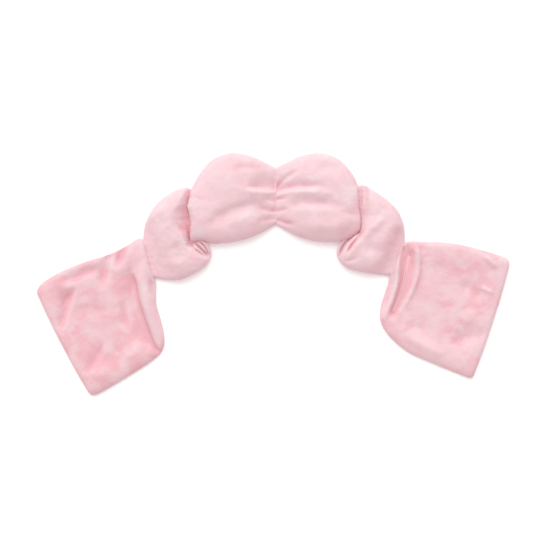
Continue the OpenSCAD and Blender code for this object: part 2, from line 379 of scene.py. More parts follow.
PARTS = {
    part.name: part
    for part in (
        Part("inner_left", "inner_left_pod", ["centre", "left_pod"],
             shares(centre[0], -1, INNER_TOP), shares(centre[1], -1, INNER_LEFT_BOTTOM), 1.7),
        Part("inner_right", "inner_right_pod", ["centre", "right_pod"],
             shares(centre[0], 1, INNER_TOP), shares(centre[1], 1, INNER_RIGHT_BOTTOM), 1.7),
        Part("outer_left", "outer_left_pod", ["left_pod", "left_tail"],
             offsets(left_pod[0], OUTER_LEFT_TOP), offsets(left_pod[0], OUTER_LEFT_BOTTOM), 1.0),
        Part("outer_right", "outer_right_pod", ["right_pod", "right_tail"],
             offsets(right_pod[0], OUTER_RIGHT_TOP), offsets(right_pod[0], OUTER_RIGHT_BOTTOM), 1.0),
        Part("left_tail", "left_tail", ["left_tail"],
             offsets(left_tail[0], LEFT_TAIL_TOP), offsets(left_tail[0], LEFT_TAIL_BOTTOM), 2.0),
        Part("right_tail", "right_tail", ["right_tail"],
             offsets(right_tail[0], RIGHT_TAIL_TOP), offsets(right_tail[0], RIGHT_TAIL_BOTTOM), 2.0, SLIT),
    )
}
PARTS_BY_BODY = {part.body: part for part in PARTS.values()}

# ---------- folds, laid on the front skins ----------

# A fold is (depth, width on its left, width on its right, sharpness, points). Depth is negative for a ridge.
# Left is as seen going along its points. Sharpness 1 is a crease, 2 a soft hollow and 4 a trough.
FOLDS = {
    "inner_left": [
        (5.0, 3.2, 15, 1.7, [(22, 116), (5, 118), (-6, 119), (-18, 119.8), (-40, 120.5)]),
        (-1.5, 4, 4, 2, [(18, 112), (-10, 112.5), (-26, 113), (-50, 114)]),
        (5.0, 13, 8, 2, [(4, 97), (-26, 95), (-48, 90), (-68, 82), (-84, 72), (-98, 62)]),
        (2.2, 4.5, 6.5, 1.8, [(-12, 146.4), (-36, 147.3), (-60, 146.4)]),
        (2.8, 3, 5, 1.7, [(22, 85), (6, 86.6), (-6, 88), (-26, 91)]),
        (-1.4, 7, 7, 2, [(-26, 84), (-46, 76), (-66, 68)]),
        (2.2, 2.4, 3.6, 1.7, [(18, 99), (6, 101), (-4, 102), (-17, 105)]),
        (2.0, 2.5, 4, 1.7, [(20, 77), (6, 76.5), (-6, 76), (-24, 71)]),
        (1.4, 5, 5, 1.8, [(-119, 109), (-105, 104), (-90, 102)]),
    ],
    "inner_right": [
        (3.8, 4.5, 2.8, 1.7, [(-10, 108), (5, 121), (13.8, 128.6), (22, 134.8), (40, 145)]),
        (5.4, 8.5, 3, 1.7, [(-16, 105), (1, 113), (11, 117), (23.4, 119.4), (38, 120.3), (76, 121)]),
        (-1.2, 3, 5, 2, [(-16, 106), (3, 109), (18, 112), (40, 113.5), (68, 113), (98, 107)]),
        (4.4, 9, 6, 2, [(16, 91), (27.5, 95), (40, 97.5), (66, 97), (84, 94)]),
        (1.8, 7, 6, 2, [(54, 98), (80, 95), (106, 90)]),
        (1.6, 5, 4, 1.6, [(88, 86), (106, 83), (122, 81)]),
        (2.4, 3.4, 2.2, 1.7, [(-12, 100), (1, 102), (9, 103.5), (22, 106)]),
        (2.6, 3.4, 2.2, 1.7, [(-12, 84), (1, 86), (10, 87.5), (24, 91)]),
        (3.0, 3.5, 3, 1.8, [(-10, 75), (2, 74), (14, 72.5), (34, 66)]),
        (2.2, 9, 7, 2, [(58, 143), (78, 146), (100, 141)]),
        (-2.6, 10, 10, 2, [(36, 64), (64, 66), (88, 66), (112, 72)]),
    ],
    "outer_left": [
        (6.0, 1.7, 2.4, 1.5, [(-117, 74), (-116, 62), (-114, 51), (-112.8, 43.6), (-108.6, 36.4),
            (-101.8, 30.9), (-93.5, 25.6), (-84, 23), (-74, 24)]),
        (9, 2.0, 1.9, 1.9, [(-115, 54), (-110.5, 47), (-105.9, 41.9), (-100.4, 36.4), (-93.5, 29.8),
            (-87, 24.5), (-80, 18)]),
        (7.0, 1.3, 1.3, 1.8, [(-114, 52), (-105.9, 46.4), (-99, 43.3), (-92.3, 35.4), (-88, 26.8),
            (-85, 16)]),
        (1.6, 6, 6, 2, [(-157, 86), (-151, 75), (-144, 64)]),
        (3.0, 8, 9, 2, [(-138, 46), (-131, 32), (-127, 14)]),
        (-1.6, 8, 8, 2, [(-150, 104), (-148, 80), (-138, 58)]),
    ],
    "outer_right": [
        (4.0, 2.4, 2.4, 1.6, [(128, 132), (129, 121), (129, 110), (126, 90)]),
        (2.4, 1.8, 1.8, 1.6, [(121, 132), (121.8, 108), (120.5, 90)]),
        (10, 2.4, 2.2, 1.9, [(123, 72), (112.8, 58.4), (105.9, 50.2), (99, 43.3), (93.8, 33.7), (92, 25),
            (92, 14)]),
        (5.6, 1.9, 1.8, 1.8, [(125, 62), (118, 52.9), (112.8, 46.1), (107.3, 39.2), (103, 32), (100, 24)]),
        (1.6, 7, 7, 2, [(160, 94), (150, 85), (140, 78)]),
        (-2.6, 6, 5, 2, [(158, 94), (144, 72), (130.6, 58.4), (116.9, 43.3), (105.9, 26.8), (98, 16)]),
        (3.0, 9, 9, 2, [(122, 34), (136, 34), (154, 30)]),
        (1.8, 3, 3, 1.8, [(97, 20), (106, 19), (116, 24)]),
    ],
    "left_tail": [
        (-4.2, 8, 10, 2, [(-180, 70), (-178, 30), (-176, 0), (-175, -21), (-172, -42), (-166.5, -63),
            (-158, -94)]),
        (9.5, 3.2, 13, 1.5, [(-199, 22), (-195, -2), (-190.5, -15), (-187, -35), (-181.5, -51.6),
            (-175.5, -69.4), (-167.5, -90), (-157, -106), (-146, -118)]),
        (8.0, 2.2, 4, 1.6, [(-192, 10), (-189, -18), (-186.5, -35), (-181.5, -51.6), (-175.5, -69.4),
            (-167.5, -90), (-157, -106), (-146, -118)]),
        (4.0, 4, 4, 2, [(-167, -2), (-167, -12), (-165, -26), (-163, -34)]),
        (5.6, 5, 8, 1.8, [(-268, -14), (-280, -30), (-285, -40), (-287.5, -54), (-290, -69), (-290, -84)]),
        (8.0, 6, 9, 1.8, [(-220, 50), (-229, 20), (-233, 0), (-236, -24)]),
        (7.0, 6, 9, 1.8, [(-196, 56), (-208, 30), (-217, 4)]),
        (5.4, 6, 12, 1.8, [(-230, 13), (-254, 3), (-274, -5), (-300, -11)]),
        (2.6, 7, 7, 2, [(-204, -30), (-206, -52), (-200, -80)]),
        (1.8, 12, 8, 2, [(-210, -46), (-236, -48), (-262, -46), (-276, -52)]),
        (3.8, 4.5, 10, 1.8, [(-233, -90), (-239, -106), (-246, -122), (-260, -140)]),
        (-2.0, 8, 8, 2, [(-216, -126), (-232, -134), (-250, -146)]),
        (-1.8, 9, 9, 2, [(-186, -84), (-192, -104), (-206, -118)]),
    ],
    "right_tail": [
        (-5.0, 3.4, 3.0, 2.2, [(170, 62), (171, 46), (171, 30), (171, 10), (169.5, -12), (165, -32),
            (158, -50), (152.5, -61), (146, -74)]),
        (4.2, 8.5, 9, 3.4, [(185, 66), (185, 48), (185, 30), (184, 6), (179.5, -16), (172, -36), (162, -54),
            (152, -70)]),
        (-3.4, 2.6, 5, 2, [(196, 60), (198, 42), (200, 24), (200, 8), (197, -8), (190, -26), (182, -42),
            (174, -56)]),
        (2.6, 1.2, 1.2, 1.6, [(180, 46), (180, 36), (180, 28)]),
        (2.6, 1.2, 1.2, 1.6, [(186, 46), (186, 36), (186, 30)]),
        (3.4, 4.2, 4, 1.8, [(165, 12), (161.5, -10), (158, -26), (152, -42), (144, -58)]),
        (-3.4, 3.4, 3.4, 2, [(286, 28), (296, 21), (309, 7)]),
        (-2.6, 3, 3, 2, [(284, -16), (292, -20), (305, -27)]),
        (3.2, 9, 10, 2, [(254, -8), (274, -22), (292, -38)]),
        (3.8, 11, 9, 2, [(240, -96), (272, -86), (300, -76)]),
        (-2.2, 9, 9, 2, [(278, -46), (270, -58), (260, -70)]),
        (-2.2, 6, 7, 2, [(180, -80), (200, -92), (226, -106), (244, -114)]),
        (2.0, 6, 6, 2, [(202, 48), (211, 34), (214, 14)]),
        (2.0, 6, 6, 2, [(182, -66), (194, -72), (214, -76)]),
    ],
}
FADE = 0.34


def folded(points, folds):
    """How far folds raise the skin at plan points."""
    rise = np.zeros(len(points))
    for depth, left, right, sharpness, route in folds:
        far, share, side = to_line(points, spline(route, 3))
        ends = smooth(share / FADE) * smooth((1 - share) / FADE)
        width = np.where(side > 0, left, right) * (0.6 + 0.4 * ends)
        rise -= depth * np.exp(-((far / width) ** sharpness)) * ends
    return rise


# ---------- surfaces ----------

LOFTS = {"inner_left": 19, "inner_right": 19, "outer_left": 17, "outer_right": 17}
FULLNESS = 1.7
SEAM_FRONT = {"centre": 4.2, "left_pod": 2.6, "right_pod": 2.6, "left_tail": 4.5, "right_tail": 4.5}
SEAM_FADE = 14
SEAM_BACK = 2.1
PUCKERS = {"centre": 1.2, "left_pod": 1.0, "right_pod": 1.0, "left_tail": 0.35, "right_tail": 0.35}
PUCKER_FADE = 9
PUCKER_SIZE = 3.6
PUCKER_STRETCH = [0.3, 1]
# Layers of soft bumps: (height, size, seed).
BUMPS = [(0.9, 30, 1), (0.7, 13, 2)]
FINE_BUMPS = [(0.3, 6, 4), (0.1, 3, 3)]
FOLD_HOLD = 2
BUMP_HOLD = 8
EDGE_ROUND = 3
SKIN_GAP = 1.4
POD_EDGE_LIFT = 3.0
POD_LIFT_REACH = 22
TAIL_EDGE_Z = 1.7
TAIL_LIFT_REACH = 10
TAIL_PUFF = 7.6
TAIL_SAG = 2.4
TAIL_SAG_START = 14
TAIL_SAG_REACH = 25
TAIL_CALM = 0.65
LIP_Z = 2.6
LIP_REACH = 4

# How a part rises from each seam: the distance to full height down the seam, and the roundness of the wall.
# Over 1 the wall is steepest at the seam, and under 1 the valley has a floor.
RISE = {
    ("inner_left", "centre"): ([(0, 36)], 1.25),
    ("inner_right", "centre"): ([(0, 36)], 1.25),
    ("inner_left", "left_pod"): ([(0, 18)], 2.6),
    ("inner_right", "right_pod"): ([(0, 18)], 2.6),
    ("outer_left", "left_pod"): ([(0, 9), (0.3, 20), (0.42, 28), (0.57, 33), (0.72, 27), (0.84, 15),
                                  (1, 9)], 0.8),
    ("outer_right", "right_pod"): ([(0, 26), (0.3, 22), (0.65, 24), (1, 10)], 0.8),
    ("outer_left", "left_tail"): ([(0, 42)], 1),
    ("outer_right", "right_tail"): ([(0, 31)], 1),
    ("left_tail", "left_tail"): ([(0, 20)], 1.2),
    ("right_tail", "right_tail"): ([(0, 16)], 1.2),
}


def rising(part):
    """From 0 at a part's seams to 1 at full height."""
    w = np.ones(len(part.points))
    for s in part.seams:
        table, roundness = RISE[part.name, s]
        share = to_line(part.points, SEAMS[s])[1]
        length = np.interp(share, *np.array(table).T)
        t = np.clip(part.to_seam[s] / length, 0, 1)
        if roundness > 1:
            w = w * (1 - (1 - t) ** roundness) ** (1 / roundness)
        else:
            w = w * smooth(t) ** roundness
    return w


def surfaces(part):
    """Heights of a part's front and back skins, which meet along its free edges."""
    seam = np.min([part.to_seam[s] for s in part.seams], axis=0)
    hold = 1 - np.exp(-part.to_edge / FOLD_HOLD)
    soft_hold = 1 - np.exp(-((part.to_edge / BUMP_HOLD) ** 2))
    edge = np.sqrt(1 - np.exp(-part.to_edge / EDGE_ROUND))
    w = rising(part)
    front_seam = sum(
        SEAM_FRONT[s] * np.exp(-((part.to_seam[s] / SEAM_FADE) ** 2)) for s in part.seams
    )
    bumps = bumpy(part.points, BUMPS)
    if part.name not in LOFTS:
        bumps *= TAIL_CALM
    fine = bumpy(part.points, FINE_BUMPS)
    details = folded(part.points, FOLDS[part.name]) * hold + (bumps + fine) * soft_hold
    details *= smooth(seam / 4 + 0.25)
    gathers = sum(PUCKERS[s] * np.exp(-part.to_seam[s] / PUCKER_FADE) for s in part.seams)
    puckers = gathers * wobble(part.points * PUCKER_STRETCH, PUCKER_SIZE, 5) * hold
    if part.name in LOFTS:
        front, back = pod_surfaces(part, seam, edge, w, front_seam)
    else:
        front, back = tail_surfaces(part, seam, edge, w, front_seam)
    if part.name in LOFTS:
        front = stuffed(part, front, back)
    front = front + details + puckers
    if part.slit is not None:
        near = np.exp(-((to_line(part.points, part.slit)[0] / LIP_REACH) ** 2))
        front = front * (1 - near) + LIP_Z * near
    front = np.maximum(front, back + SKIN_GAP * np.minimum(1, part.to_edge))
    return front, np.maximum(back, 0)


def pod_surfaces(part, seam, edge, w, front_seam):
    """A pod's plain skins: blown up in front, nearly flat behind, drawn in at the seams."""
    rim = SEAM_Z + POD_EDGE_LIFT * (1 - np.exp(-((seam / POD_LIFT_REACH) ** 2)))
    blown = np.sqrt(1 - (1 - part.puff) ** FULLNESS)
    front = rim + edge * front_seam * (1 - w) + LOFTS[part.name] * blown * w
    under = np.minimum(1, 1.7 * part.puff**0.5) * w + SEAM_BACK / SEAM_Z * edge * (1 - w)
    return front, rim * (1 - np.minimum(1, under))


def tail_surfaces(part, seam, edge, w, front_seam):
    """A tail's plain skins: a puffed roll round the edges, and a slight sag in the middle."""
    rim = TAIL_EDGE_Z + (SEAM_Z - TAIL_EDGE_Z) * np.exp(-((seam / TAIL_LIFT_REACH) ** 2))
    roll = np.ones(len(part.points))
    for width, line in part.rolls:
        near = np.maximum(part.to_edge, to_line(part.points, line)[0])
        roll *= np.sqrt(1 - (1 - np.clip(near / width, 0, 1)) ** 2)
    sag = TAIL_SAG * smooth((part.to_edge - TAIL_SAG_START) / TAIL_SAG_REACH)
    puffed = TAIL_PUFF * np.minimum(roll, edge) - sag
    front = rim + edge * front_seam * (1 - w) + puffed * w
    return front, rim * (1 - np.clip(edge * (0.7 + 0.3 * w), 0, 1))


# ---------- the pods' stuffing, by cloth simulation ----------

BAG_START = 0.93
BAG_VOXEL = 4.5
BAG_PRESSURE = 4
BAG_FRAMES = 20
BAG_PINNED = 6
SWELL_CAP = 5
SWELL_FADE = 9
SWELL_PASSES = 12
RAY_HEIGHT = 90


def stuffed(part, front, back):
    """Front heights of a pod after its stuffing has pressed a slightly smaller cloth bag out."""
    small = SEAM_Z + (front - SEAM_Z) * BAG_START
    bag = solid(part.name + "_bag", part.points, part.triangles, small, back, None)
    bpy.context.view_layer.objects.active = bag
    even = bag.modifiers.new("even", "REMESH")
    even.mode = "VOXEL"
    even.voxel_size = BAG_VOXEL * MM
    bpy.ops.object.modifier_apply(modifier=even.name)
    start = np.array([v.co for v in bag.data.vertices]) / MM
    sewn_lines = [*part.free, *(SEAMS[s] for s in part.seams)]
    held = np.min([to_line(start[:, :2], line)[0] for line in sewn_lines], axis=0)
    pins = bag.vertex_groups.new(name="sewn")
    pins.add([int(i) for i in np.nonzero(held < BAG_PINNED)[0]], 1, "REPLACE")
    cloth = bag.modifiers.new("cloth", "CLOTH")
    cloth.settings.vertex_group_mass = pins.name
    cloth.settings.use_pressure = True
    cloth.settings.uniform_pressure_force = BAG_PRESSURE
    cloth.settings.effector_weights.gravity = 0
    cloth.point_cache.frame_end = BAG_FRAMES
    for frame_number in range(1, BAG_FRAMES + 1):
        bpy.context.scene.frame_set(frame_number)
    blown = bag.evaluated_get(bpy.context.evaluated_depsgraph_get())
    end = np.array([v.co for v in blown.data.vertices]) / MM
    faces = [tuple(f.vertices) for f in bag.data.polygons]
    bag_mesh = bag.data
    bpy.data.objects.remove(bag)
    bpy.data.meshes.remove(bag_mesh)
    bpy.context.scene.frame_set(1)
    heights = []
    for points in (start, end):
        tree = BVHTree.FromPolygons([Vector(p) for p in points], faces)
        hits = [tree.ray_cast(Vector((x, y, RAY_HEIGHT)), Vector((0, 0, -1)))[0] for x, y in part.points]
        heights.append(np.array([np.nan if hit is None else hit.z for hit in hits]))
    swell = np.nan_to_num(np.clip(heights[1] - heights[0], -SWELL_CAP, SWELL_CAP))
    sewn = np.min([part.to_edge, *part.to_seam.values()], axis=0)
    swell *= smooth(sewn / SWELL_FADE)
    for _ in range(SWELL_PASSES):
        swell = averaged(swell, part.triangles)
    return small + swell


OVERHANG = {
    ("inner_left", "left_pod"): [(117, 0), (105, 2.5), (94, 6), (82, 2.5), (70, 0.5), (57, 1.5), (46, 3)],
    ("inner_right", "right_pod"): [(116, 0), (106, 1), (91, 1), (80, 3.5), (70, 4.5), (60, 4), (54, 3)],
}
WALL_HEIGHT = 13
OVERHANG_REACH = 16


def overhung(part, front):
    """Plan points with an inner pod's plump end wall leaning out over its neighbour."""
    points = part.points.copy()
    for (name, s), amounts in OVERHANG.items():
        if name != part.name:
            continue
        y, out = np.array(sorted(amounts)).T
        lean = np.interp(points[:, 1], y, out, left=0, right=0)
        up = np.clip((front - SEAM_Z - SEAM_BACK) / WALL_HEIGHT, 0, 1)
        near = np.clip(1 - part.to_seam[s] / OVERHANG_REACH, 0, 1)
        outward = np.sign(SEAMS[s][0][0] - SEAMS["centre"][0][0])
        points[:, 0] += outward * lean * np.sin(np.pi * up**0.8) * smooth(near * 1.6)
    return points


# ---------- skins made into pieces ----------

PLUSH_T = 1.2
JERSEY_T = 0.8
STRIP_HALVES = {"centre": 13, "left_pod": 8, "right_pod": 8, "left_tail": 17, "right_tail": 15}
HEM_REACH = 110
LINING_T = 0.4
# What fills a pod: how far in from its edge, how far below its front skin, and the mesh's spacing.
FILLINGS = {"pouch": (5, 2.6, 3.5), "fill": (9, 3.4, 2.4)}
BACK_CLEAR = 0.6
BEAD_LUMP = 0.5
BINDING_HALF = 1.0
BINDING_TALL = 1.3
BINDING_Z = 1.9
BARTACK_HALF = 3
BARTACK_STITCHES = 7
BARTACK_PITCH = 0.45
BARTACK_OVER = 1.2
STITCH_HALF = 0.22
NORMAL_PASSES = 1
GATHER = 1.25
# Painted shade: SINK_PASSES, SINK_DEPTH, SINK_EDGE and FOLD_SHADE darken the plush's colour in folds and
# lighten it on ridges.
SINK_PASSES = 16
SINK_DEPTH = 3
SINK_EDGE = 7
FOLD_SHADE = 0.24
# Painted shade in the outer pods' end valleys and along the slot's trough.
VALLEY_SHADES = {"outer_left": 0.3, "outer_right": 0.05}
VALLEY_REACH = 28
TROUGH_SHADE = 0.12
TROUGH_REACH = 7.5
TAIL_TONES = {"left_tail": 0.15, "right_tail": 0.1}
TONE_REACH = {"left_tail": 26, "right_tail": 5}


def averaged(values, triangles):
    """Values at a mesh's points, each replaced by the mean over the triangles round it."""
    count = sum(np.bincount(triangles[:, k], minlength=len(values)) for k in range(3)) * 3
    total = values[triangles].sum(axis=1)
    return sum(np.bincount(triangles[:, k], total, len(values)) for k in range(3)) / np.maximum(count, 1)


def vertex_normals(points, triangles):
    """Smooth normals, averaged once more over the triangles round each point."""
    a, b, c = (points[triangles[:, k]] for k in range(3))
    face = np.cross(b - a, c - a)
    total = np.zeros_like(points)
    for k in range(3):
        for axis in range(3):
            total[:, axis] += np.bincount(triangles[:, k], face[:, axis], len(points))
    for _ in range(NORMAL_PASSES):
        total /= np.maximum(np.linalg.norm(total, axis=1), 1e-12)[:, None]
        around = total[triangles].sum(axis=1)
        total = np.stack([
            sum(np.bincount(triangles[:, k], around[:, axis], len(points)) for k in range(3))
            for axis in range(3)
        ], axis=1)
    return total / np.maximum(np.linalg.norm(total, axis=1), 1e-12)[:, None]


def valley_shade():
    """Painted shade in an outer pod's end valley, where the inner pod shades it, and in the trough along the
    slot.
    """
    tones = []
    for part in PARTS.values():
        if part.slit is not None:
            tones.append(TROUGH_SHADE * np.exp(-((to_line(part.points, part.slit)[0] / TROUGH_REACH) ** 4)))
            continue
        beside = np.exp(-((part.to_seam[part.seams[0]] / VALLEY_REACH) ** 4))
        tones.append(VALLEY_SHADES.get(part.name, 0) * (1 - rising(part)) * beside)
    return np.concatenate(tones)


def tail_tone():
    """The tails' deeper tone, easing across the seams beside them."""
    tones = []
    for part in PARTS.values():
        for s, tone in TAIL_TONES.items():
            if s not in part.seams:
                continue
            near = 0.5 * tone * np.exp(-part.to_seam[s] / TONE_REACH[s])
            tones.append(near if part.name in LOFTS else tone - near)
        if not set(part.seams) & set(TAIL_TONES):
            tones.append(np.zeros(len(part.points)))
    return np.concatenate(tones)


def sinking(points, triangles, to_edge):
    """How far each point of a skin lies below the skin round it, from -1 on a ridge to 1 in a fold."""
    around = points[:, 2]
    for _ in range(SINK_PASSES):
        around = averaged(around, triangles)
    return np.clip((around - points[:, 2]) / SINK_DEPTH, -1, 1) * smooth((to_edge - 1) / SINK_EDGE)


def new_piece(name, points, faces, material=None):
    """A smooth mesh object from points in millimetres."""
    mesh = bpy.data.meshes.new(name)
    mesh.from_pydata(points * MM, [], faces)
    mesh.polygons.foreach_set("use_smooth", [True] * len(mesh.polygons))
    if material is not None:
        mesh.materials.append(material)
    obj = bpy.data.objects.new(name, mesh)
    bpy.context.scene.collection.objects.link(obj)
    return obj


def closed_faces(triangles, count):
    """Triangles, the same ones turned over a count of points later, and the walls between their rims."""
    ends = np.vstack([triangles[:, [0, 1]], triangles[:, [1, 2]], triangles[:, [2, 0]]])
    known = set(map(tuple, ends))
    walls = [(b, a, a + count, b + count) for a, b in ends if (b, a) not in known]
    return [tuple(t) for t in triangles] + [tuple(t[::-1] + count) for t in triangles] + walls


def shell(name, points, triangles, normals, thickness, material, lean=None):
    """A closed skin with its outer face given and its inner face a thickness below."""
    used, index = np.unique(triangles, return_inverse=True)
    p, n = points[used], normals[used]
    faces = closed_faces(index.reshape(-1, 3), len(p))
    obj = new_piece(name, np.vstack([p, p - n * thickness]), faces, material)
    obj.data.normals_split_custom_set_from_vertices(np.vstack([n, -n]))
    if lean is not None:
        # lean holds painted shade for folds and valleys, and the tails' deeper tone, stored for the plush's
        # colour.
        shade_layer = obj.data.attributes.new("nap_lean", "FLOAT", "POINT")
        shade_layer.data.foreach_set("value", np.tile(lean[used], 2).astype(np.float32))
    return obj


def welded():
    """Front and back skins of the whole band as one mesh each, with the parts joined at the seams."""
    fronts, backs, triangles, owner = [], [], [], []
    total = 0
    for part in PARTS.values():
        front, back = surfaces(part)
        plan = overhung(part, front)
        fronts.append(np.column_stack([plan, front]))
        backs.append(np.column_stack([part.points, back]))
        triangles.append(part.triangles + total)
        owner += [part.name] * len(part.triangles)
        total += len(part.points)
    plans = np.vstack([p.points for p in PARTS.values()])
    keys = {}
    merge = np.arange(total)
    for i, p in enumerate(np.round(plans, 3)):
        merge[i] = keys.setdefault(tuple(p), i)
    return np.vstack(fronts), np.vstack(backs), merge[np.vstack(triangles)], np.array(owner), plans


def skin_height(points, triangles, above):
    """A function giving a skin's lowest or highest point near each plan point, seen from above or below."""
    tree = BVHTree.FromPolygons([Vector(p) for p in points], [tuple(t) for t in triangles])
    start, way, pick = (60, -1, min) if above else (-30, 1, max)

    def height(x, y):
        hits = [
            tree.ray_cast(Vector((x + dx, y + dy, start)), Vector((0, 0, way)))[0]
            for dx, dy in ((0, 0), (2, 0), (-2, 0), (0, 2), (0, -2))
        ]
        return pick([hit.z for hit in hits if hit is not None], default=SEAM_Z)

    return height


def fold_line(name):
    """The line that the band folds along at a seam. A tail's hem folds on past both ends of its seam."""
    start, end = SEAMS[name]
    past = HEM_REACH * name.endswith("tail") * direction(SEAMS[name])
    return np.array([start - past, end + past])


def bending(name, middles, owner):
    """Which triangles go into a seam's strip. An outer pod's curled corner, past its hinge, stays out of it.
    """
    near = to_line(middles, fold_line(name))[0] < STRIP_HALVES[name]
    if not name.endswith("pod"):
        return near
    line = SEAMS[name]
    length = np.linalg.norm(line[1] - line[0])
    along = direction(line)
    out = np.sign(line[0][0]) * np.array([-along[1], along[0]])
    off = middles - line.mean(axis=0)
    past = (off @ out < 0) | (np.abs(off @ along) > length / 2)
    return near & ~(past & (owner == PARTS_BY_BODY[SEAM_BODIES[name][1]].name))


def solid(name, points, triangles, top, low, material):
    """A closed solid between two heights over a plan mesh, with no wall where they meet."""
    both = np.vstack([np.column_stack([points, top]), np.column_stack([points, low])])
    return new_piece(name, both, closed_faces(triangles, len(points)), material)


def filling(part, above, below):
    """The lining pouch and the beads in it, which follow the inside of a pod's skins."""
    for kind, (depth, gap, spacing) in FILLINGS.items():
        loop = inset(part.loop, depth, spacing)
        points, triangles = plan_mesh(loop, spacing)
        top = np.array([above(x, y) for x, y in points]) - gap
        raised = gap - FILLINGS["pouch"][1]
        low = np.array([below(x, y) for x, y in points]) + JERSEY_T + BACK_CLEAR + raised
        middle = (top + low) / 2
        clear = np.min([to_line(points, fold_line(s))[0] - STRIP_HALVES[s] + 1 for s in part.seams], axis=0)
        away = np.clip(np.minimum(clear, to_line(points, np.vstack([loop, loop[:1]]))[0]), 0, None)
        triangles = triangles[clear[triangles].min(axis=1) > 0]
        round_edge = 0.1 + 0.9 * np.sqrt(1 - np.exp(-away / 3))
        half = np.maximum((top - low) / 2, 0.6) * round_edge
        top, low = middle + half, middle - half
        if kind == "fill":
            lumps = BEAD_LUMP * wobble(points, 1.9, 8) * round_edge
            piece = solid(f"{part.name}_bead_fill", points, triangles, top + lumps, low + lumps, BEADS)
            pieces = [(piece, f"{part.name}_beads", "beads")]
        else:
            faces = triangles, triangles[:, ::-1]
            pieces = []
            for side, z, turned in zip(("front", "back"), (top, low), faces):
                ply = np.column_stack([points, z])
                normals = vertex_normals(ply, turned)
                piece = shell(f"{part.name}_bead_pouch_{side}", ply, turned, normals, LINING_T, LINING)
                pieces.append((piece, f"{part.name}_pouch_{side}", "lining"))
        for piece, node, slot in pieces:
            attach(piece, part.body)
            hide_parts(node)


def tube(path, radii, closed=False, sides=10):
    """A tube with an oval section, (half width, half height), along a path of points."""
    path = np.array(path)
    ahead = np.roll(path, -1, axis=0) - np.roll(path, 1, axis=0) if closed else np.gradient(path, axis=0)
    ahead /= np.linalg.norm(ahead, axis=1)[:, None]
    across = np.cross(ahead, (0, 0, 1))
    across /= np.linalg.norm(across, axis=1)[:, None]
    up = np.cross(across, ahead)
    turns = np.linspace(0, 2 * np.pi, sides, endpoint=False)
    rings = (
        path[:, None]
        + radii[0] * np.cos(turns)[None, :, None] * across[:, None]
        + radii[1] * np.sin(turns)[None, :, None] * up[:, None]
    )
    count = len(path)
    faces = [
        (i * sides + k, i * sides + (k + 1) % sides, (i + 1) % count * sides + (k + 1) % sides,
         (i + 1) % count * sides + k)
        for i in range(count if closed else count - 1)
        for k in range(sides)
    ]
    if not closed:
        faces += [tuple(range(sides))[::-1], tuple(range((count - 1) * sides, count * sides))]
    return rings.reshape(-1, 3), faces


def joined(name, parts, material):
    """One piece from several (points, faces) lists."""
    points, faces, start = [], [], 0
    for some_points, some_faces in parts:
        points.append(some_points)
        faces += [tuple(int(i) + start for i in f) for f in some_faces]
        start += len(some_points)
    return new_piece(name, np.vstack(points), faces, material)


def slot_edges():
    """The binding round the slot's lips and the bartack across each end."""
    lips = SLIT - BINDING_HALF * 0.55 * inward(SLIT)
    path = np.column_stack([lips, np.full(len(lips), BINDING_Z)])
    binding = joined("slot_binding", [tube(path, (BINDING_HALF, BINDING_TALL), closed=True)], FACING)
    stitches = []
    half = len(SLIT) // 2
    for end, towards in ((SLIT[0], SLIT[3]), (SLIT[half], SLIT[half - 3])):
        along = direction((end, towards))
        across = np.array([-along[1], along[0]])
        for k in range(BARTACK_STITCHES):
            middle = end + along * (k * BARTACK_PITCH - BARTACK_OVER)
            arc = [
                (*(middle + across * t * BARTACK_HALF), BINDING_Z + BINDING_TALL + 0.3 - 1.6 * abs(t) ** 3)
                for t in np.linspace(-1, 1, 9)
            ]
            stitches.append(tube(arc, (STITCH_HALF, STITCH_HALF), sides=6))
    bartacks = joined("slot_bartack_stitches", stitches, THREAD)
    for piece, node, slot in ((binding, "slot_facing", "facing"), (bartacks, "slot_bartacks", "thread")):
        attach(piece, "right_tail")
        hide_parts(node)


def laid_out(points, triangles, along, gather=1.0):
    """Works out a skin's plan length along its seam, with some gather, and does nothing with it."""
    plan = points[np.unique(triangles)][:, :2]
    length = np.ptp(plan @ along)
    length *= gather


def part_skins(part, mine, front, back):
    """A part's own skins, which ride its body."""
    pieces = (
        (shell(part.name + "_front_skin", *front), "front", "plush"),
        (shell(part.name + "_back_skin", *back), "back", "jersey"),
    )
    kind = "cover" if part.name in LOFTS else "ply"
    for piece, face, slot in pieces:
        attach(piece, part.body)
        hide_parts(f"{part.name}_{kind}_{face}")
        if part.name in LOFTS:
            continue
        laid_out(front[0], mine, direction(SEAMS[part.seams[0]]))


def seam_skins(s, mine, front, back):
    """The gathered strips over a seam, front and back, as pieces of their own."""
    line = SEAMS[s]
    a, b = SEAM_BODIES[s]
    along = direction(line)
    across = np.array([along[1], -along[0]])
    middle = line.mean(axis=0)
    across *= np.sign(across @ (PARTS_BY_BODY[b].points.mean(axis=0) - middle))
    for face, skin, slot in (("front", front, "plush"), ("back", back, "jersey")):
        piece = shell(f"{s}_seam_gathers_{face}", *skin)
        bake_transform(piece)
        laid_out(skin[0], mine, along, GATHER)


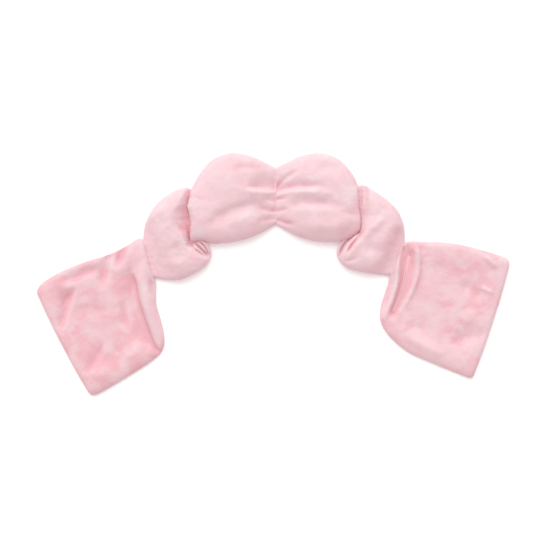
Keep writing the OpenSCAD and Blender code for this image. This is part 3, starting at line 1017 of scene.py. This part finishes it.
def main():
    """Every piece of the band, part by part and then seam by seam."""
    fronts, backs, triangles, owner, plans = welded()
    front_normals = vertex_normals(fronts, triangles)
    back_normals = vertex_normals(backs, triangles[:, ::-1])
    to_edge = np.concatenate([part.to_edge for part in PARTS.values()])
    # Painted shade: the plush is darkened in folds, in the outer pods' end valleys and along the slot's
    # trough, and lightened on ridges; the tails' deeper tone is added too.
    lean = FOLD_SHADE * sinking(fronts, triangles, to_edge)
    lean += valley_shade() + tail_tone()
    middles = plans[triangles].mean(axis=1)
    strips = {s: bending(s, middles, owner) for s in SEAMS}
    in_strip = np.any(list(strips.values()), axis=0)

    def skins(mine):
        """What shell() needs for the front and the back skin over some of the triangles."""
        front = (fronts, triangles[mine], front_normals, PLUSH_T, PLUSH, lean)
        return front, (backs, triangles[mine][:, ::-1], back_normals, JERSEY_T, JERSEY)

    for part in PARTS.values():
        mine = (owner == part.name) & ~in_strip
        part_skins(part, triangles[mine], *skins(mine))
    above = skin_height(fronts, triangles, True)
    below = skin_height(backs, triangles, False)
    for part in PARTS.values():
        if part.name in LOFTS:
            filling(part, above, below)
    slot_edges()
    for s, mine in strips.items():
        seam_skins(s, triangles[mine], *skins(mine))


# ---------- materials ----------


def material(name, roughness, colours, sheen=0.0, bump_scale=900, bump_kind="NOISE"):
    """A fabric or plastic whose colour wanders between two colours, with a fine bump."""
    m = bpy.data.materials.new(name)
    m.use_nodes = True
    nodes, links = m.node_tree.nodes, m.node_tree.links
    shader = nodes["Principled BSDF"]
    shader.inputs["Roughness"].default_value = roughness
    shader.inputs["Sheen Weight"].default_value = sheen
    shader.inputs["Sheen Roughness"].default_value = 0.35
    shader.inputs["Specular IOR Level"].default_value = 0.2
    place = nodes.new("ShaderNodeTexCoord")
    patches = nodes.new("ShaderNodeTexNoise")
    patches.inputs["Scale"].default_value = 30
    patches.inputs["Detail"].default_value = 3
    links.new(place.outputs["Object"], patches.inputs["Vector"])
    ramp = nodes.new("ShaderNodeValToRGB")
    for element, position in zip(ramp.color_ramp.elements, (0.35, 0.65)):
        element.position = position
    for element, colour in zip(ramp.color_ramp.elements, colours):
        element.color = (*colour, 1)
    links.new(patches.outputs["Fac"], ramp.inputs["Fac"])
    links.new(ramp.outputs["Color"], shader.inputs["Base Color"])
    grain = nodes.new("ShaderNodeTexNoise" if bump_kind == "NOISE" else "ShaderNodeTexVoronoi")
    grain.inputs["Scale"].default_value = bump_scale
    links.new(place.outputs["Object"], grain.inputs["Vector"])
    relief = nodes.new("ShaderNodeBump")
    relief.inputs["Strength"].default_value = 0.2
    relief.inputs["Distance"].default_value = 0.0006
    links.new(grain.outputs["Fac" if bump_kind == "NOISE" else "Distance"], relief.inputs["Height"])
    links.new(relief.outputs["Normal"], shader.inputs["Normal"])
    return m


def plush(name, tones):
    """Brushed short-pile plush: the nap lies this way and that in patches, over a fine pile."""
    m = bpy.data.materials.new(name)
    m.use_nodes = True
    nodes, links = m.node_tree.nodes, m.node_tree.links
    shader = nodes["Principled BSDF"]
    for socket, value in (
        ("Roughness", 0.92), ("Specular IOR Level", 0.15), ("Sheen Weight", 0.35), ("Sheen Roughness", 0.4),
        ("Sheen Tint", (1, 0.93, 0.94, 1)),
    ):
        shader.inputs[socket].default_value = value
    place = nodes.new("ShaderNodeTexCoord").outputs["Object"]

    def noise_node(scale, detail, distortion=0.0, roughness=0.5, stretch=(1, 1, 1)):
        mapping = nodes.new("ShaderNodeMapping")
        mapping.inputs["Scale"].default_value = stretch
        links.new(place, mapping.inputs["Vector"])
        texture = nodes.new("ShaderNodeTexNoise")
        for socket, value in (("Scale", scale), ("Detail", detail), ("Distortion", distortion),
                              ("Roughness", roughness)):
            texture.inputs[socket].default_value = value
        links.new(mapping.outputs["Vector"], texture.inputs["Vector"])
        return texture.outputs["Fac"]

    def mixed(a, b, share):
        mix = nodes.new("ShaderNodeMix")
        mix.inputs["Factor"].default_value = share
        links.new(a, mix.inputs["A"])
        links.new(b, mix.inputs["B"])
        return mix.outputs["Result"]

    nap = mixed(
        noise_node(26, 2, 0.6, stretch=(1, 1.2, 1)),
        mixed(noise_node(80, 3, 0.5), noise_node(900, 2, stretch=(1, 0.6, 1)), 0.4),
        0.42,
    )
    # Painted shade: this attribute darkens the nap's colour in folds and valleys and lightens it on ridges,
    # and also carries the tails' deeper tone.
    lean = nodes.new("ShaderNodeAttribute")
    lean.attribute_name = "nap_lean"
    shaded_nap = nodes.new("ShaderNodeMath")
    shaded_nap.operation = "SUBTRACT"
    links.new(nap, shaded_nap.inputs[0])
    links.new(lean.outputs["Fac"], shaded_nap.inputs[1])
    nap = shaded_nap.outputs["Value"]
    ramp = nodes.new("ShaderNodeValToRGB")
    ramp.color_ramp.interpolation = "EASE"
    ramp.color_ramp.elements[0].position, ramp.color_ramp.elements[1].position = 0.22, 0.76
    middle = ramp.color_ramp.elements.new(0.5)
    for element, tone in zip((ramp.color_ramp.elements[0], middle, ramp.color_ramp.elements[2]), tones):
        element.color = (*tone, 1)
    links.new(nap, ramp.inputs["Fac"])
    links.new(ramp.outputs["Color"], shader.inputs["Base Color"])
    relief = None
    for scale, detail, strength, distance, stretch in (
        (260, 3, 0.5, 0.0012, (1, 0.7, 1)),
        (2600, 2, 0.5, 0.0004, (1, 0.5, 1)),
    ):
        bump = nodes.new("ShaderNodeBump")
        bump.inputs["Strength"].default_value = strength
        bump.inputs["Distance"].default_value = distance
        links.new(noise_node(scale, detail, stretch=stretch), bump.inputs["Height"])
        if relief is not None:
            links.new(relief, bump.inputs["Normal"])
        relief = bump.outputs["Normal"]
    links.new(relief, shader.inputs["Normal"])
    return m


PLUSH = plush("plush", [(0.79, 0.415, 0.465), (0.80, 0.54, 0.58), (0.81, 0.62, 0.65)])
JERSEY = material("jersey", 0.85, [(0.78, 0.45, 0.49), (0.82, 0.49, 0.53)], sheen=0.15)
LINING = material("lining", 0.9, [(0.86, 0.85, 0.82), (0.92, 0.90, 0.88)], bump_scale=1600)
BEADS = material("beads", 0.35, [(0.78, 0.78, 0.75), (0.88, 0.88, 0.85)], bump_kind="VORONOI", bump_scale=330)
FACING = material("facing", 0.5, [(0.86, 0.52, 0.57), (0.90, 0.58, 0.62)], sheen=0.2, bump_scale=1500)
THREAD = material("thread", 0.55, [(0.82, 0.46, 0.52), (0.86, 0.50, 0.56)], bump_scale=2500)
ELASTIC = material("elastic", 0.6, [(0.88, 0.86, 0.83), (0.93, 0.91, 0.89)], bump_scale=1800)
main()
for seam in SEAMS:
    for kind, finish in (("elastic", ELASTIC), ("thread", THREAD)):
        node = bpy.data.objects[f"{seam}_seam_{kind}"]
        node.data.materials.clear()
        node.data.materials.append(finish)

# ---------- stage ----------

FLOOR_SIZE = 40
FLOOR_GAP = 0.0005
bpy.ops.mesh.primitive_plane_add(size=FLOOR_SIZE, location=(0, 0, -FLOOR_GAP))
floor = bpy.context.object
floor.name = "floor"
floor_material = bpy.data.materials.new("floor")
floor_material.use_nodes = True
for socket, value in (
    ("Base Color", (0.96, 0.96, 0.96, 1)),
    ("Roughness", 0.9),
    ("Emission Color", (1, 1, 1, 1)),
    ("Emission Strength", 0.12),
):
    floor_material.node_tree.nodes["Principled BSDF"].inputs[socket].default_value = value
floor.data.materials.append(floor_material)

KEY = 2.15
KEY_COLOUR = (0.83, 1, 0.97)
KEY_FROM = (-0.28, 1.25, 1.05)
KEY_SOFTNESS = 60
DOME = 0.79
DOME_COLOUR = (1, 0.94, 0.94, 1)
world = bpy.data.worlds.new("world")
world.use_nodes = True
world.node_tree.nodes["Background"].inputs["Color"].default_value = DOME_COLOUR
world.node_tree.nodes["Background"].inputs["Strength"].default_value = DOME
bpy.context.scene.world = world

light = bpy.data.lights.new("key", "SUN")
light.energy = KEY
light.color = KEY_COLOUR
light.angle = np.radians(KEY_SOFTNESS)
key = bpy.data.objects.new("key", light)
key.rotation_euler = Vector(KEY_FROM).to_track_quat("Z", "Y").to_euler()
bpy.context.scene.collection.objects.link(key)

# The camera looks straight down from a distance at which the picture is VIEW_WIDTH wide.
VIEW_WIDTH = 0.7576
VIEW_CENTRE = (0.0034, -0.0014)
LENS = 100
SENSOR = 36
SUBJECT_HEIGHT = 0.008
camera_data = bpy.data.cameras.new("camera")
camera_data.lens = LENS
camera_data.sensor_width = SENSOR
camera_data.clip_end = 100
camera = bpy.data.objects.new("camera", camera_data)
camera.location = (*VIEW_CENTRE, VIEW_WIDTH * LENS / SENSOR + SUBJECT_HEIGHT)
bpy.context.scene.view_settings.view_transform = "Standard"
bpy.context.scene.collection.objects.link(camera)
bpy.context.scene.camera = camera
